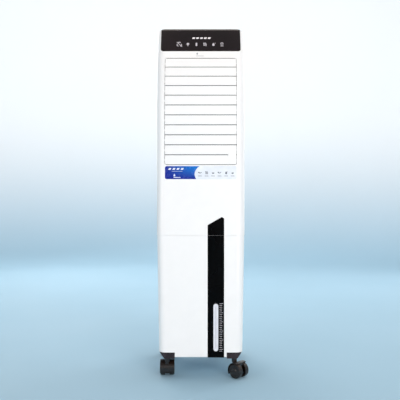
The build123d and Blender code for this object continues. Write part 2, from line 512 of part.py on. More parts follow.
for number in range(1, SLATS + 1):
    pivot_y, pivot_z, lean = slat_pivot(number)
    upright = Plane(origin=(0, pivot_y, pivot_z), x_dir=(0, 1, 0), z_dir=(1, 0, 0))
    leaning = Plane(origin=(0, pivot_y, pivot_z), x_dir=(0, -cos(lean), sin(lean)), z_dir=(-1, 0, 0))
    with BuildPart() as slat:
        # blade just under the front face, rounded along its edges
        with BuildSketch(leaning.offset(-SLAT_HALF)):
            with Locations((PIVOT_DEPTH - SLAT_THICK / 2 - 0.3, 0)):
                RectangleRounded(SLAT_THICK, SLAT_CHORD, 0.9)
        extrude(amount=2 * SLAT_HALF)
        if number in (1, SLATS):
            # the outer corners of the lowest and highest blade follow the opening's corners
            with BuildSketch(Plane.XZ.offset(100)):
                grille_outline(-SIDE_GAP)
            extrude(amount=90, mode=Mode.INTERSECT)
        # ears, pivot pins, crank arm and crank pin
        for ear in (-SLAT_HALF, SLAT_HALF - 3):
            with BuildSketch(leaning.offset(ear)):
                Circle(3.2)
                with Locations((2.2, 0)):
                    Rectangle(4.4, 9)
            extrude(amount=3)
        with BuildSketch(upright.offset(-FRAME_IN - FRAME_WALL + 0.4)):
            Circle(PIVOT_R)
        extrude(amount=12)
        with BuildSketch(upright.offset(SLAT_HALF - 2)):
            Circle(PIVOT_R)
        extrude(amount=FRAME_IN + FRAME_WALL - 0.4 - SLAT_HALF + 2)
        with BuildSketch(upright.offset(-SLAT_HALF - ARM_THICK)):
            with Locations((CRANK / 2, 0)):
                SlotCenterToCenter(CRANK, 5)
        extrude(amount=ARM_THICK)
        with BuildSketch(upright.offset(BAR_X - BAR_THICK - 0.2)):
            with Locations((CRANK, 0)):
                Circle(PIVOT_R)
        extrude(amount=BAR_THICK + 1)
        if number == TAB_SLAT:
            # thumb tab that laps over the slat below it
            with BuildSketch(Plane(origin=(TAB_X, pivot_y - PIVOT_DEPTH, pivot_z), x_dir=(1, 0, 0),
                                   z_dir=(0, -1, 0))):
                with Locations((0, TAB_LOW)):
                    RectangleRounded(TAB_W, TAB_TOP - TAB_LOW, 3, align=(Align.CENTER, Align.MIN))
            extrude(amount=2.2)
            with Locations((TAB_X, pivot_y - PIVOT_DEPTH, pivot_z + TAB_TOP)):
                Box(TAB_W - 6, 2, 4, align=(Align.CENTER, Align.CENTER, Align.MAX))
            for rib in (-1, 0, 1):
                with Locations((TAB_X, pivot_y - PIVOT_DEPTH - 2.2, pivot_z - 29 + 3.2 * rib)):
                    Box(14, 1.4, 1.2)
    slat.part.label = f"louvre_{number:02d}"
    export_step(slat.part, f"parts/louvre_{number:02d}.step")

with BuildPart() as louvre_link:
    bar_low, bar_end_lean = slat_pivot(1)[1] - 5, slat_pivot(SLATS)[2] + 5 / BEND_R
    centre_y, centre_r = BEND_R - HALF_D + CRANK, BEND_R - PIVOT_DEPTH
    with BuildSketch(Plane.YZ.offset(BAR_X - BAR_THICK)):
        with BuildLine():
            Line((centre_y - centre_r - 2.5, bar_low), (centre_y - centre_r + 2.5, bar_low))
            Line((centre_y - centre_r + 2.5, bar_low), (centre_y - centre_r + 2.5, BEND_Z))
            inner_edge = CenterArc((centre_y, BEND_Z), centre_r - 2.5, 180, -degrees(bar_end_lean))
            outer_edge = CenterArc((centre_y, BEND_Z), centre_r + 2.5, 180, -degrees(bar_end_lean))
            Line(inner_edge @ 1, outer_edge @ 1)
            Line((centre_y - centre_r - 2.5, BEND_Z), (centre_y - centre_r - 2.5, bar_low))
        make_face()
    extrude(amount=BAR_THICK)
    for number in range(1, SLATS + 1):
        pivot_y, pivot_z, lean = slat_pivot(number)
        with Locations((BAR_X, pivot_y + CRANK, pivot_z)):
            Cylinder(PIVOT_R + RUN_GAP, 20, rotation=(0, 90, 0), mode=Mode.SUBTRACT)
louvre_link.part.label = "louvre_link"
export_step(louvre_link.part, "parts/louvre_link.step")

VANES, VANE_PITCH, VANE_Y, VANE_FRONT, VANE_REAR = 5, 48.0, -92.0, 16.0, 24.0
VANE_LOW, VANE_HIGH, VANE_CRANK, VANE_PIN = 729.0, 1066.0, 18.0, 2.0
BEARING_LOW, BEARING_HIGH, BEARING_THICK = 722.0, 1082.0, 4.0
SWING_X, SWING_TOP = 0.0, 1112.0

with BuildPart() as louvre_frame:
    add(housing_form(WALL + CLEAR))
    with Locations((0, FRAME_BACK, (FRAME_LOW + FRAME_HIGH) / 2)):
        Box(2 * (FRAME_IN + FRAME_WALL), 200, FRAME_HIGH - FRAME_LOW,
            align=(Align.CENTER, Align.MAX, Align.CENTER), mode=Mode.INTERSECT)
        Box(2 * FRAME_IN, 400, FRAME_HIGH - FRAME_LOW - 2 * FRAME_WALL, mode=Mode.SUBTRACT)
    # cross bars that carry the vertical vanes
    for bar_z in (BEARING_LOW, BEARING_HIGH):
        with Locations((0, VANE_Y, bar_z)):
            Box(2 * FRAME_IN + 2, 14, BEARING_THICK, align=(Align.CENTER, Align.CENTER, Align.MIN))
            with GridLocations(VANE_PITCH, 1, VANES, 1):
                Cylinder(VANE_PIN + RUN_GAP, 20, mode=Mode.SUBTRACT)
    with Locations((SWING_X, VANE_Y, FRAME_HIGH)):
        Cylinder(VANE_PIN + 0.5, 20, mode=Mode.SUBTRACT)
    for number in range(1, SLATS + 1):
        pivot_y, pivot_z, lean = slat_pivot(number)
        with Locations((0, pivot_y, pivot_z)):
            Cylinder(PIVOT_R + RUN_GAP, 2 * (FRAME_IN + FRAME_WALL) + 4, rotation=(0, 90, 0),
                     mode=Mode.SUBTRACT)
louvre_frame.part.label = "louvre_frame"
export_step(louvre_frame.part, "parts/louvre_frame.step")

# ---- vertical vanes, their link bar and the swing motor ----------------------------------------
for number in range(1, VANES + 1):
    vane_x = (number - (VANES + 1) / 2) * VANE_PITCH
    pin_top = SWING_TOP if vane_x == SWING_X else BEARING_HIGH + BEARING_THICK + 1
    with BuildPart() as vane:
        with BuildSketch(Plane.XY.offset(VANE_LOW)):
            with Locations((vane_x, VANE_Y + (VANE_REAR - VANE_FRONT) / 2)):
                SlotOverall(VANE_FRONT + VANE_REAR, 2.2, rotation=90)
            with Locations((vane_x, VANE_Y)):
                Circle(2.6)
        extrude(amount=VANE_HIGH - VANE_LOW)
        with Locations((vane_x, VANE_Y, BEARING_LOW - 1)):
            Cylinder(VANE_PIN, pin_top - BEARING_LOW + 1, align=(Align.CENTER, Align.CENTER, Align.MIN))
        with Locations((vane_x, VANE_Y + VANE_CRANK, VANE_HIGH - 10)):
            Cylinder(PIVOT_R, 22, align=(Align.CENTER, Align.CENTER, Align.MIN))
    vane.part.label = f"vane_{number}"
    export_step(vane.part, f"parts/vane_{number}.step")

with BuildPart() as vane_link:
    with BuildSketch(Plane.XY.offset(VANE_HIGH + 5)):
        with Locations((0, VANE_Y + VANE_CRANK)):
            SlotCenterToCenter((VANES - 1) * VANE_PITCH, 8)
            with GridLocations(VANE_PITCH, 1, VANES, 1):
                Circle(PIVOT_R + RUN_GAP, mode=Mode.SUBTRACT)
    extrude(amount=3)
vane_link.part.label = "vane_link"
export_step(vane_link.part, "parts/vane_link.step")

with BuildPart() as swing_motor:
    with Locations((SWING_X, VANE_Y, FRAME_HIGH)):
        Cylinder(24, 18, align=(Align.CENTER, Align.CENTER, Align.MIN))
        Box(62, 12, 2, align=(Align.CENTER, Align.CENTER, Align.MIN))
        Cylinder(VANE_PIN + RUN_GAP, 2 * (SWING_TOP - FRAME_HIGH) + 2, mode=Mode.SUBTRACT)
    with Locations((SWING_X, VANE_Y + 26, FRAME_HIGH)):
        Box(16, 8, 10, align=(Align.CENTER, Align.CENTER, Align.MIN))
swing_motor.part.label = "swing_motor"
export_step(swing_motor.part, "parts/swing_motor.step")

# ---- blower: scroll, wheel, shaft, motor, and the duct up to the louvre frame ------------------
FAN_Z, FAN_R, SCROLL_GAP, SCROLL_GROWTH, SCROLL_WALL = 610.0, 80.0, 8.0, 45.0, 2.5
SCROLL_FRONT, SCROLL_BACK, TONGUE, SCROLL_TOP = -33.0, 57.0, 60, 706.0
INLET_R, SHAFT_R, DUCT_BACK = 62.0, 4.0, 60.0


def scroll_outline(grow):
    """Spiral casing region in front view, grown by a wall thickness."""
    def spiral(angle):
        radius = FAN_R + SCROLL_GAP + grow + SCROLL_GROWTH * (angle - TONGUE) / 360
        return (radius * cos(radians(angle)), FAN_Z + radius * sin(radians(angle)))
    with BuildLine() as outline:
        curve = Spline([spiral(angle) for angle in range(TONGUE, 361, 30)])
        Line(curve @ 1, curve @ 0)
    make_face(outline.edges())
    chute_left = spiral(TONGUE)[0] - 1.5 * grow
    chute_right = spiral(360)[0]
    with Locations(((chute_left + chute_right) / 2, FAN_Z)):
        Rectangle(chute_right - chute_left, SCROLL_TOP - FAN_Z, align=(Align.CENTER, Align.MIN))


with BuildPart() as blower_scroll:
    with BuildSketch(Plane.XZ.offset(-SCROLL_BACK)):
        scroll_outline(SCROLL_WALL)
    extrude(amount=SCROLL_BACK - SCROLL_FRONT)
    # flange under the duct and two feet on the drip deck
    with Locations((0, SCROLL_BACK, SCROLL_TOP)):
        Box(2 * (FRAME_IN + FRAME_WALL), SCROLL_BACK - SCROLL_FRONT, 3,
            align=(Align.CENTER, Align.MAX, Align.MIN))
    for foot_x in (-62, 62):
        with Locations((foot_x, (SCROLL_FRONT + SCROLL_BACK) / 2, DECK_TOP)):
            Box(14, SCROLL_BACK - SCROLL_FRONT, 42, align=(Align.CENTER, Align.CENTER, Align.MIN))
    with BuildSketch(Plane.XZ.offset(-SCROLL_BACK + SCROLL_WALL)):
        scroll_outline(0)
    extrude(amount=SCROLL_BACK - SCROLL_FRONT - 2 * SCROLL_WALL, mode=Mode.SUBTRACT)
    with BuildSketch(Plane.XZ.offset(-SCROLL_BACK + SCROLL_WALL)):
        with Locations((84.8, SCROLL_TOP)):
            Rectangle(81.4, 20)
    extrude(amount=SCROLL_BACK - SCROLL_FRONT - 2 * SCROLL_WALL, mode=Mode.SUBTRACT)
    with Locations((0, SCROLL_BACK, FAN_Z)):
        Cylinder(INLET_R, 20, rotation=(90, 0, 0), mode=Mode.SUBTRACT)
    with Locations((0, SCROLL_FRONT, FAN_Z)):
        Cylinder(12, 20, rotation=(90, 0, 0), mode=Mode.SUBTRACT)
blower_scroll.part.label = "blower_scroll"
export_step(blower_scroll.part, "parts/blower_scroll.step")

BLADES, FAN_FRONT, FAN_BACK = 32, -20.0, 46.0
with BuildPart() as blower_wheel:
    with BuildSketch(Plane.XZ.offset(-FAN_BACK)):
        with Locations((0, FAN_Z)):
            with PolarLocations(FAN_R - 9, BLADES):
                Rectangle(17, 1.4, rotation=28)
    extrude(amount=FAN_BACK - FAN_FRONT - 1)
    with BuildSketch(Plane.XZ.offset(-FAN_BACK)):
        with Locations((0, FAN_Z)):
            Circle(FAN_R)
            Circle(FAN_R - 14, mode=Mode.SUBTRACT)
    extrude(amount=3)
    with BuildSketch(Plane.XZ.offset(-FAN_FRONT - 2.5)):
        with Locations((0, FAN_Z)):
            Circle(FAN_R)
            Circle(SHAFT_R + 0.02, mode=Mode.SUBTRACT)
    extrude(amount=2.5)
    with BuildSketch(Plane.XZ.offset(-FAN_FRONT - 24)):
        with Locations((0, FAN_Z)):
            Circle(11)
            Circle(SHAFT_R + 0.02, mode=Mode.SUBTRACT)
    extrude(amount=24)
blower_wheel.part.label = "blower_wheel"
export_step(blower_wheel.part, "parts/blower_wheel.step")

with BuildPart() as motor_shaft:
    with Locations((0, -72, FAN_Z)):
        Cylinder(SHAFT_R, 78, rotation=(-90, 0, 0), align=(Align.CENTER, Align.CENTER, Align.MIN))
    chamfer(motor_shaft.edges().filter_by(GeomType.CIRCLE), 0.6)
motor_shaft.part.label = "motor_shaft"
export_step(motor_shaft.part, "parts/motor_shaft.step")

with BuildPart() as blower_motor:
    with BuildSketch(Plane.XZ.offset(-SCROLL_FRONT + 0.2)):
        with Locations((0, FAN_Z)):
            Circle(50)
    extrude(amount=3)
    with BuildSketch(Plane.XZ.offset(-SCROLL_FRONT + 3)):
        with Locations((0, FAN_Z)):
            Circle(42)
    extrude(amount=44)
    fillet(blower_motor.faces().sort_by(Axis.Y)[0].edges(), 6)
    with Locations((0, -30, FAN_Z)):
        Cylinder(SHAFT_R + RUN_GAP, 90, rotation=(90, 0, 0), mode=Mode.SUBTRACT)
blower_motor.part.label = "blower_motor"
export_step(blower_motor.part, "parts/blower_motor.step")

with BuildPart() as air_duct:
    duct_low, duct_high = SCROLL_TOP + 3, FRAME_HIGH
    front_y = FRAME_BACK + 0.2
    with BuildSketch(Plane.YZ.offset(-FRAME_IN - FRAME_WALL)):
        with BuildLine():
            Polyline((front_y, FRAME_LOW), (SCROLL_FRONT, duct_low), (DUCT_BACK, duct_low),
                     (DUCT_BACK, 900), (front_y + 20, duct_high), (front_y, duct_high),
                     (front_y, FRAME_LOW))
        make_face()
    extrude(amount=2 * (FRAME_IN + FRAME_WALL))
    with BuildSketch(Plane.YZ.offset(-FRAME_IN)):
        with BuildLine():
            Polyline((front_y - 10, FRAME_LOW + 3), (SCROLL_FRONT + 1.5, duct_low + 3),
                     (SCROLL_FRONT + 1.5, duct_low - 5), (DUCT_BACK - 2.5, duct_low - 5),
                     (DUCT_BACK - 2.5, 899), (front_y + 19, duct_high - 3), (front_y - 10, duct_high - 3),
                     (front_y - 10, FRAME_LOW + 3))
        make_face()
    extrude(amount=2 * FRAME_IN, mode=Mode.SUBTRACT)
air_duct.part.label = "air_duct"
export_step(air_duct.part, "parts/air_duct.step")

# ---- casters ------------------------------------------------------------------------------------
STEM_X, STEM_Y, STEM_R, STEM_LOW, STEM_TOP = 115.0, 139.0, 5.0, 45.0, 83.5
TRAIL, WHEEL_R, WHEEL_IN, WHEEL_OUT, AXLE_R = 20.0, 25.0, 7.4, 24.2, 4.0
HOOD_FROM, HOOD_SWEEP = 66, 142         # hood round the wheels, in degrees above the trailing side
HOOD_IN, HOOD_OUT, HOOD_HALF = 26.2, 28.6, 24.5
BRACKET_LOW = 66.0
# corner name: side in X, side in Y, direction in which the wheels trail behind the stem (degrees)
CASTERS = {"fl": (-1, -1, 90), "fr": (1, -1, -43), "rl": (-1, 1, 137), "rr": (1, 1, 90)}

with BuildPart() as caster_brackets:
    for side_x, side_y, heading in CASTERS.values():
        with BuildSketch(Plane.XZ.offset(-side_y * STEM_Y - 26)):
            with BuildLine():
                Polyline((side_x * (POCKET_X + 0.5), BRACKET_LOW), (side_x * 124, BRACKET_LOW),
                         (side_x * 141, POCKET_TOP - 0.1), (side_x * (POCKET_X + 0.5), POCKET_TOP - 0.1),
                         (side_x * (POCKET_X + 0.5), BRACKET_LOW))
            make_face()
        extrude(amount=52)
        with Locations((side_x * STEM_X, side_y * STEM_Y, BRACKET_LOW)):
            Cylinder(STEM_R + 0.02, 36, mode=Mode.SUBTRACT)
    with BuildSketch(Plane.XY.offset(BRACKET_LOW - 1)):
        RectangleRounded(WIDTH - 2 * (TANK_STEP + TANK_DRAFT) - 2,
                         DEPTH - 2 * (TANK_STEP + TANK_DRAFT) - 2, 23)
    extrude(amount=40, mode=Mode.INTERSECT)
    chamfer(caster_brackets.faces().group_by(Axis.Z)[0].edges(), 0.8)
caster_brackets.part.label = "caster_brackets"
export_step(caster_brackets.part, "parts/caster_brackets.step")

with BuildPart() as caster_stems:
    for side_x, side_y, heading in CASTERS.values():
        with Locations((side_x * STEM_X, side_y * STEM_Y, STEM_LOW)):
            Cylinder(STEM_R, STEM_TOP - STEM_LOW, align=(Align.CENTER, Align.CENTER, Align.MIN))
        with Locations((side_x * STEM_X, side_y * STEM_Y, BRACKET_LOW - 3)):
            Cylinder(7.4, 3, align=(Align.CENTER, Align.CENTER, Align.MIN))
caster_stems.part.label = "caster_stems"
export_step(caster_stems.part, "parts/caster_stems.step")

for corner, (side_x, side_y, heading) in CASTERS.items():
    turn = radians(heading)
    base = Plane(origin=(side_x * STEM_X, side_y * STEM_Y, 0), x_dir=(sin(turn), -cos(turn), 0),
                 z_dir=(0, 0, 1))
    side_view = Plane(origin=base.from_local_coords((0, TRAIL, WHEEL_R)), x_dir=base.y_dir,
                      z_dir=base.x_dir)
    with BuildPart() as fork:
        # hood over both wheels
        with BuildSketch(side_view.offset(-HOOD_HALF)):
            with BuildLine():
                outer_arc = CenterArc((0, 0), HOOD_OUT, HOOD_FROM, HOOD_SWEEP)
                inner_arc = CenterArc((0, 0), HOOD_IN, HOOD_FROM, HOOD_SWEEP)
                Line(outer_arc @ 0, inner_arc @ 0)
                Line(outer_arc @ 1, inner_arc @ 1)
            make_face()
        extrude(amount=2 * HOOD_HALF)
        # web between the wheels and hub around the stem
        with BuildSketch(side_view.offset(-6.5)):
            with BuildLine():
                web_arc = CenterArc((0, 0), (HOOD_IN + HOOD_OUT) / 2, HOOD_FROM, HOOD_SWEEP)
                Polyline(web_arc @ 1, (-8, -13), (8, -8), (12, 6), web_arc @ 0)
            make_face()
        extrude(amount=13)
        with Locations(base.from_local_coords((0, 0, 42))):
            Cylinder(WHEEL_IN - 0.4, 20.6, align=(Align.CENTER, Align.CENTER, Align.MIN))
        with Locations(base.from_local_coords((0, 0, 2 * WHEEL_R + 0.8))):
            Cylinder(9, 11.8, align=(Align.CENTER, Align.CENTER, Align.MIN))
        with Locations(base.from_local_coords((0, 0, STEM_LOW - 0.5))):
            Cylinder(STEM_R + RUN_GAP, 30, align=(Align.CENTER, Align.CENTER, Align.MIN),
                     mode=Mode.SUBTRACT)
        # stub axles
        with BuildSketch(side_view.offset(-21)):
            Circle(AXLE_R)
        extrude(amount=42)
    fork.part.label = f"caster_{corner}_fork"
    export_step(fork.part, f"parts/caster_{corner}_fork.step")

    for hand, side in (("left", -1), ("right", 1)):
        section = Plane(origin=base.from_local_coords((0, TRAIL, WHEEL_R)), x_dir=side * base.x_dir,
                        z_dir=side * -base.y_dir)
        with BuildPart() as wheel:
            with BuildSketch(section):
                with BuildLine():
                    Polyline((WHEEL_IN, AXLE_R + RUN_GAP), (WHEEL_IN, 8), (18.5, 9), (18.5, 18),
                             (WHEEL_IN, 19.5), (WHEEL_IN, 23.4), (WHEEL_IN + 1.6, WHEEL_R),
                             (WHEEL_OUT - 2.4, WHEEL_R), (WHEEL_OUT, 22.6), (WHEEL_OUT, 18.5),
                             (WHEEL_OUT - 1, 17.2), (WHEEL_OUT - 1, 8), (WHEEL_OUT - 0.2, 6.5),
                             (WHEEL_OUT - 0.2, 0), (21.4, 0), (21.4, AXLE_R + RUN_GAP),
                             (WHEEL_IN, AXLE_R + RUN_GAP))
                make_face()
            revolve(axis=Axis(section.origin, section.x_dir))
        wheel.part.label = f"caster_{corner}_wheel_{hand}"
        export_step(wheel.part, f"parts/caster_{corner}_wheel_{hand}.step")
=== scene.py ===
import json
import math

import bmesh
import bpy
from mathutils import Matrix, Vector


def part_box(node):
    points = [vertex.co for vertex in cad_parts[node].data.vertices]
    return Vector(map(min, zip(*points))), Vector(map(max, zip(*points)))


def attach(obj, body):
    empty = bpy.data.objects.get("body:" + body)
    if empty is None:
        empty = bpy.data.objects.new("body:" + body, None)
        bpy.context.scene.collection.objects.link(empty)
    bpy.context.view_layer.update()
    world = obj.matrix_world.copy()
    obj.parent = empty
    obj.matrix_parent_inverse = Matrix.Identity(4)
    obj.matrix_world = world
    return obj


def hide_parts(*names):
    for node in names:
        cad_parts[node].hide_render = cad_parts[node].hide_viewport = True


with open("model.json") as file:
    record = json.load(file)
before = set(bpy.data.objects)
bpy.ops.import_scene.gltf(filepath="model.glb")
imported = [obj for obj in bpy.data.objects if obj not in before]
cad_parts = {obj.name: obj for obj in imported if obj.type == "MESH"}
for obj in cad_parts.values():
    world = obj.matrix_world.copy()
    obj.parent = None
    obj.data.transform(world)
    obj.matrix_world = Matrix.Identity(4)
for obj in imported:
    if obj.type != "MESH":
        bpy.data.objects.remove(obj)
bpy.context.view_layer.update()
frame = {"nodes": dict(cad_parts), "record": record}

NODES = frame["nodes"]
MM = 0.001

# ---- driving places: boxes read from the frame, and the slopes of the front ----------------------
PANEL_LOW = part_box("control_panel")[0]
STRIP_LOW, STRIP_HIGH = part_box("trim_lower")
WINDOW_LOW, WINDOW_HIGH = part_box("level_window")
FRONT_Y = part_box("front_housing")[0].y
TANK_SLOPE = 6.6 / 414                  # draft of the tank's front face
BEND_Z, BEND_R = 0.880, 0.700           # the front face leans back on this arc above BEND_Z
STICKER_HALF = 121.5 * MM               # half its width
STICKER_LOW, STICKER_HIGH = 674 * MM, 719 * MM
PRINT = 0.12 * MM                       # thickness of a printed or stuck-on layer
INK_LIFT = 0.03 * MM                    # gap between ink and the face under it
STICKER_LIFT = 0.02 * MM                # gap between the sticker and the housing
WINDOW_PROUD = 0.2 * MM                 # the level window stands this far out of its strip


# ---- mesh helpers --------------------------------------------------------------------------------
def mesh_object(name, mesh_builder, material):
    """A mesh object filled by a bmesh function, with its material."""
    mesh = bpy.data.meshes.new(name)
    shape = bmesh.new()
    mesh_builder(shape)
    bmesh.ops.recalc_face_normals(shape, faces=shape.faces)
    shape.to_mesh(mesh)
    shape.free()
    made = bpy.data.objects.new(name, mesh)
    bpy.context.scene.collection.objects.link(made)
    mesh.materials.append(material)
    return made


def new_piece(name, mesh_builder, material):
    """A mesh object that belongs to the cooler and rides on its cabinet."""
    piece = mesh_object(name, mesh_builder, material)
    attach(piece, "cabinet")
    return piece


def plate(shape, outline, thick, place):
    """A thin closed plate: a flat outline [(u, v)] with a thickness w, put in place by a function."""
    low = [shape.verts.new(place(u, v, 0)) for u, v in outline]
    high = [shape.verts.new(place(u, v, thick)) for u, v in outline]
    count = len(outline)
    shape.faces.new(low[::-1])
    shape.faces.new(high)
    for i in range(count):
        j = (i + 1) % count
        shape.faces.new((low[i], low[j], high[j], high[i]))


def arc_points(cx, cy, radius, start, end, steps):
    """Points along an arc, angles in degrees."""
    return [(cx + radius * math.cos(math.radians(start + (end - start) * i / steps)),
             cy + radius * math.sin(math.radians(start + (end - start) * i / steps)))
            for i in range(steps + 1)]


def rounded_rect(x0, y0, x1, y1, radius, steps=6):
    """Outline of a rectangle with round corners."""
    return (arc_points(x1 - radius, y1 - radius, radius, 0, 90, steps)
            + arc_points(x0 + radius, y1 - radius, radius, 90, 180, steps)
            + arc_points(x0 + radius, y0 + radius, radius, 180, 270, steps)
            + arc_points(x1 - radius, y0 + radius, radius, 270, 360, steps))


def stroke(points, width):
    """Outline of a line of points, thickened to a band with square ends."""
    left, right = [], []
    for i, (x, y) in enumerate(points):
        ax, ay = points[max(i - 1, 0)]
        bx, by = points[min(i + 1, len(points) - 1)]
        length = math.hypot(bx - ax, by - ay) or 1
        nx, ny = -(by - ay) / length * width / 2, (bx - ax) / length * width / 2
        left.append((x + nx, y + ny))
        right.append((x - nx, y - ny))
    return left + right[::-1]


def front_point(x, z, out):
    """Point on the housing's front face at a height, a distance out along its normal."""
    if z <= BEND_Z:
        return Vector((x, FRONT_Y - out, z))
    lean = math.asin(min((z - BEND_Z) / BEND_R, 1))
    radius = BEND_R + out
    return Vector((x, FRONT_Y + BEND_R - radius * math.cos(lean), BEND_Z + radius * math.sin(lean)))


def tank_point(x, z, out):
    """Point on the face of the black strip on the tank."""
    y = STRIP_LOW.y + (STRIP_HIGH.z - z) * TANK_SLOPE
    return Vector((x, y - out, z))


# ---- materials -----------------------------------------------------------------------------------
def remap(tree, source, start, end, low=0, high=1):
    """A node that turns the range from start to end of a value into low to high."""
    node = tree.nodes.new("ShaderNodeMapRange")
    node.inputs["From Min"].default_value, node.inputs["From Max"].default_value = start, end
    node.inputs["To Min"].default_value, node.inputs["To Max"].default_value = low, high
    tree.links.new(source, node.inputs["Value"])
    return node


def split_place(tree):
    """Separate X, Y and Z of a point on the object."""
    split = tree.nodes.new("ShaderNodeSeparateXYZ")
    tree.links.new(tree.nodes["Texture Coordinate"].outputs["Object"], split.inputs["Vector"])
    return split.outputs


def grained(name, dark, light, grain, rough, bump=0.05, bump_size=0.0004, **sockets):
    """A moulded or drawn surface: mottled colour, uneven gloss and a fine bump, all from noise.

    dark and light are the ends of the colour variation, grain its size in metres, rough the
    two ends of the roughness, and sockets are constant values set on the shader itself."""
    material = bpy.data.materials.new(name)
    material.use_nodes = True
    tree = material.node_tree
    shader = tree.nodes["Principled BSDF"]
    place = tree.nodes.new("ShaderNodeTexCoord")

    def noise(size, detail):
        node = tree.nodes.new("ShaderNodeTexNoise")
        node.inputs["Scale"].default_value = 1 / size
        node.inputs["Detail"].default_value = detail
        tree.links.new(place.outputs["Object"], node.inputs["Vector"])
        return node

    mottle = noise(grain, 3)
    ramp = tree.nodes.new("ShaderNodeValToRGB")
    ramp.color_ramp.elements[0].position, ramp.color_ramp.elements[1].position = 0.35, 0.65
    ramp.color_ramp.elements[0].color = (*dark, 1)
    ramp.color_ramp.elements[1].color = (*light, 1)
    tree.links.new(mottle.outputs["Fac"], ramp.inputs["Fac"])
    tree.links.new(ramp.outputs["Color"], shader.inputs["Base Color"])
    gloss = remap(tree, noise(grain * 0.6, 2).outputs["Fac"], 0.3, 0.7, *rough)
    tree.links.new(gloss.outputs["Result"], shader.inputs["Roughness"])
    relief = tree.nodes.new("ShaderNodeBump")
    relief.inputs["Strength"].default_value = bump
    relief.inputs["Distance"].default_value = bump_size
    tree.links.new(noise(bump_size * 2.5, 2).outputs["Fac"], relief.inputs["Height"])
    tree.links.new(relief.outputs["Normal"], shader.inputs["Normal"])
    for socket, value in sockets.items():
        shader.inputs[socket.replace("_", " ")].default_value = value
    return material


def sticker_blue():
    """Printed blue field: deep royal blue at the lower left, brighter azure at the upper right."""
    material = grained("sticker_blue_print", (0, 0.012, 0.27), (0, 0.17, 0.62), 0.02, (0.22, 0.3), 0.02)
    tree = material.node_tree
    place = split_place(tree)
    across = remap(tree, place["X"], -STICKER_HALF + 1.5 * MM, -10 * MM)
    up = remap(tree, place["Z"], STICKER_LOW + 2 * MM, STICKER_HIGH + 3 * MM)
    both = tree.nodes.new("ShaderNodeMath")
    both.operation = "MULTIPLY"
    tree.links.new(across.outputs["Result"], both.inputs[0])
    tree.links.new(up.outputs["Result"], both.inputs[1])
    ramp = tree.nodes["Color Ramp"]
    ramp.color_ramp.elements[0].position, ramp.color_ramp.elements[1].position = 0, 0.75
    tree.links.new(both.outputs["Value"], ramp.inputs["Fac"])
    return material


WHITE = grained("white_shell", (0.868, 0.87, 0.874), (0.88, 0.881, 0.884), 0.03, (0.33, 0.37), 0.04,
                Coat_Weight=0.1, Coat_Roughness=0.2)
# Near-black inner parts (vanes, louvre frame and link, air duct): painted shade, made this dark so the gaps
# between the slats read dark
INNER_SHADE_BLACK = grained("inner_painted_shade", (0.03, 0.031, 0.034), (0.05, 0.051, 0.055), 0.03, (0.5, 0.65), 0.1)
GREY = grained("grey_polypropylene", (0.42, 0.43, 0.46), (0.5, 0.51, 0.54), 0.03, (0.45, 0.6), 0.12)
PANEL_BLACK = grained("panel_black", (0.004, 0.0018, 0.003), (0.009, 0.0045, 0.0065), 0.12,
                      (0.14, 0.22), 0.01, Specular_IOR_Level=0.5)
STRIP_BLACK = grained("strip_black", (0.0008, 0.0008, 0.001), (0.0018, 0.0016, 0.0018), 0.08,
                      (0.16, 0.26), 0.02, Specular_IOR_Level=0.05)
CASTER_BLACK = grained("caster_black", (0.005, 0.0035, 0.003), (0.016, 0.0095, 0.007), 0.012,
                       (0.16, 0.28), 0.04, Specular_IOR_Level=0.5, Coat_Weight=0.25, Coat_Roughness=0.08)
BRACKET_BLACK = grained("bracket_black", (0.012, 0.006, 0.009), (0.024, 0.013, 0.017), 0.012,
                        (0.3, 0.42), 0.1, Specular_IOR_Level=0.4)
NYLON_BLACK = grained("nylon_black", (0.01, 0.009, 0.01), (0.022, 0.019, 0.021), 0.02, (0.32, 0.5), 0.15,
                      Specular_IOR_Level=0.4)
WINDOW = grained("window_polycarbonate", (0.71, 0.715, 0.78), (0.78, 0.785, 0.84), 0.02, (0.12, 0.2), 0.01,
                 Coat_Weight=0.3, Coat_Roughness=0.05)
HOSE = grained("hose_rubber", (0.3, 0.31, 0.33), (0.4, 0.41, 0.43), 0.01, (0.4, 0.55), 0.1)
STEEL = grained("zinc_steel", (0.42, 0.42, 0.44), (0.6, 0.6, 0.62), 0.006, (0.22, 0.38), 0.08, Metallic=1.0)
ALUMINIUM = grained("motor_aluminium", (0.4, 0.41, 0.42), (0.55, 0.55, 0.57), 0.01, (0.3, 0.45), 0.2,
                    Metallic=1.0)
BOARD_GREEN = grained("board_green", (0.01, 0.09, 0.04), (0.02, 0.14, 0.06), 0.006, (0.25, 0.4), 0.08)
CELLULOSE = grained("cellulose_pad", (0.2, 0.12, 0.055), (0.36, 0.24, 0.12), 0.012, (0.75, 0.95), 0.4,
                    0.0012)
NET = grained("net_thread", (0.05, 0.052, 0.058), (0.09, 0.092, 0.1), 0.004, (0.5, 0.7), 0.3)
INK_WHITE = grained("ink_white", (0.72, 0.7, 0.73), (0.88, 0.86, 0.88), 0.003, (0.35, 0.45), 0.05)
INK_SILVER = grained("ink_silver", (0.42, 0.4, 0.44), (0.62, 0.6, 0.64), 0.002, (0.35, 0.45), 0.05)
INK_SLATE = grained("ink_slate", (0.05, 0.07, 0.1), (0.1, 0.13, 0.17), 0.003, (0.35, 0.45), 0.05)
INK_GREY = grained("ink_grey", (0.28, 0.31, 0.35), (0.4, 0.43, 0.47), 0.003, (0.35, 0.45), 0.05)
INK_PALE = grained("ink_pale_blue", (0.55, 0.62, 0.85), (0.7, 0.76, 0.93), 0.003, (0.35, 0.45), 0.05)
STICKER_WHITE = grained("sticker_white_print", (0.74, 0.79, 0.87), (0.82, 0.86, 0.92), 0.03, (0.2, 0.28),
                        0.02)
STICKER_BLUE = sticker_blue()

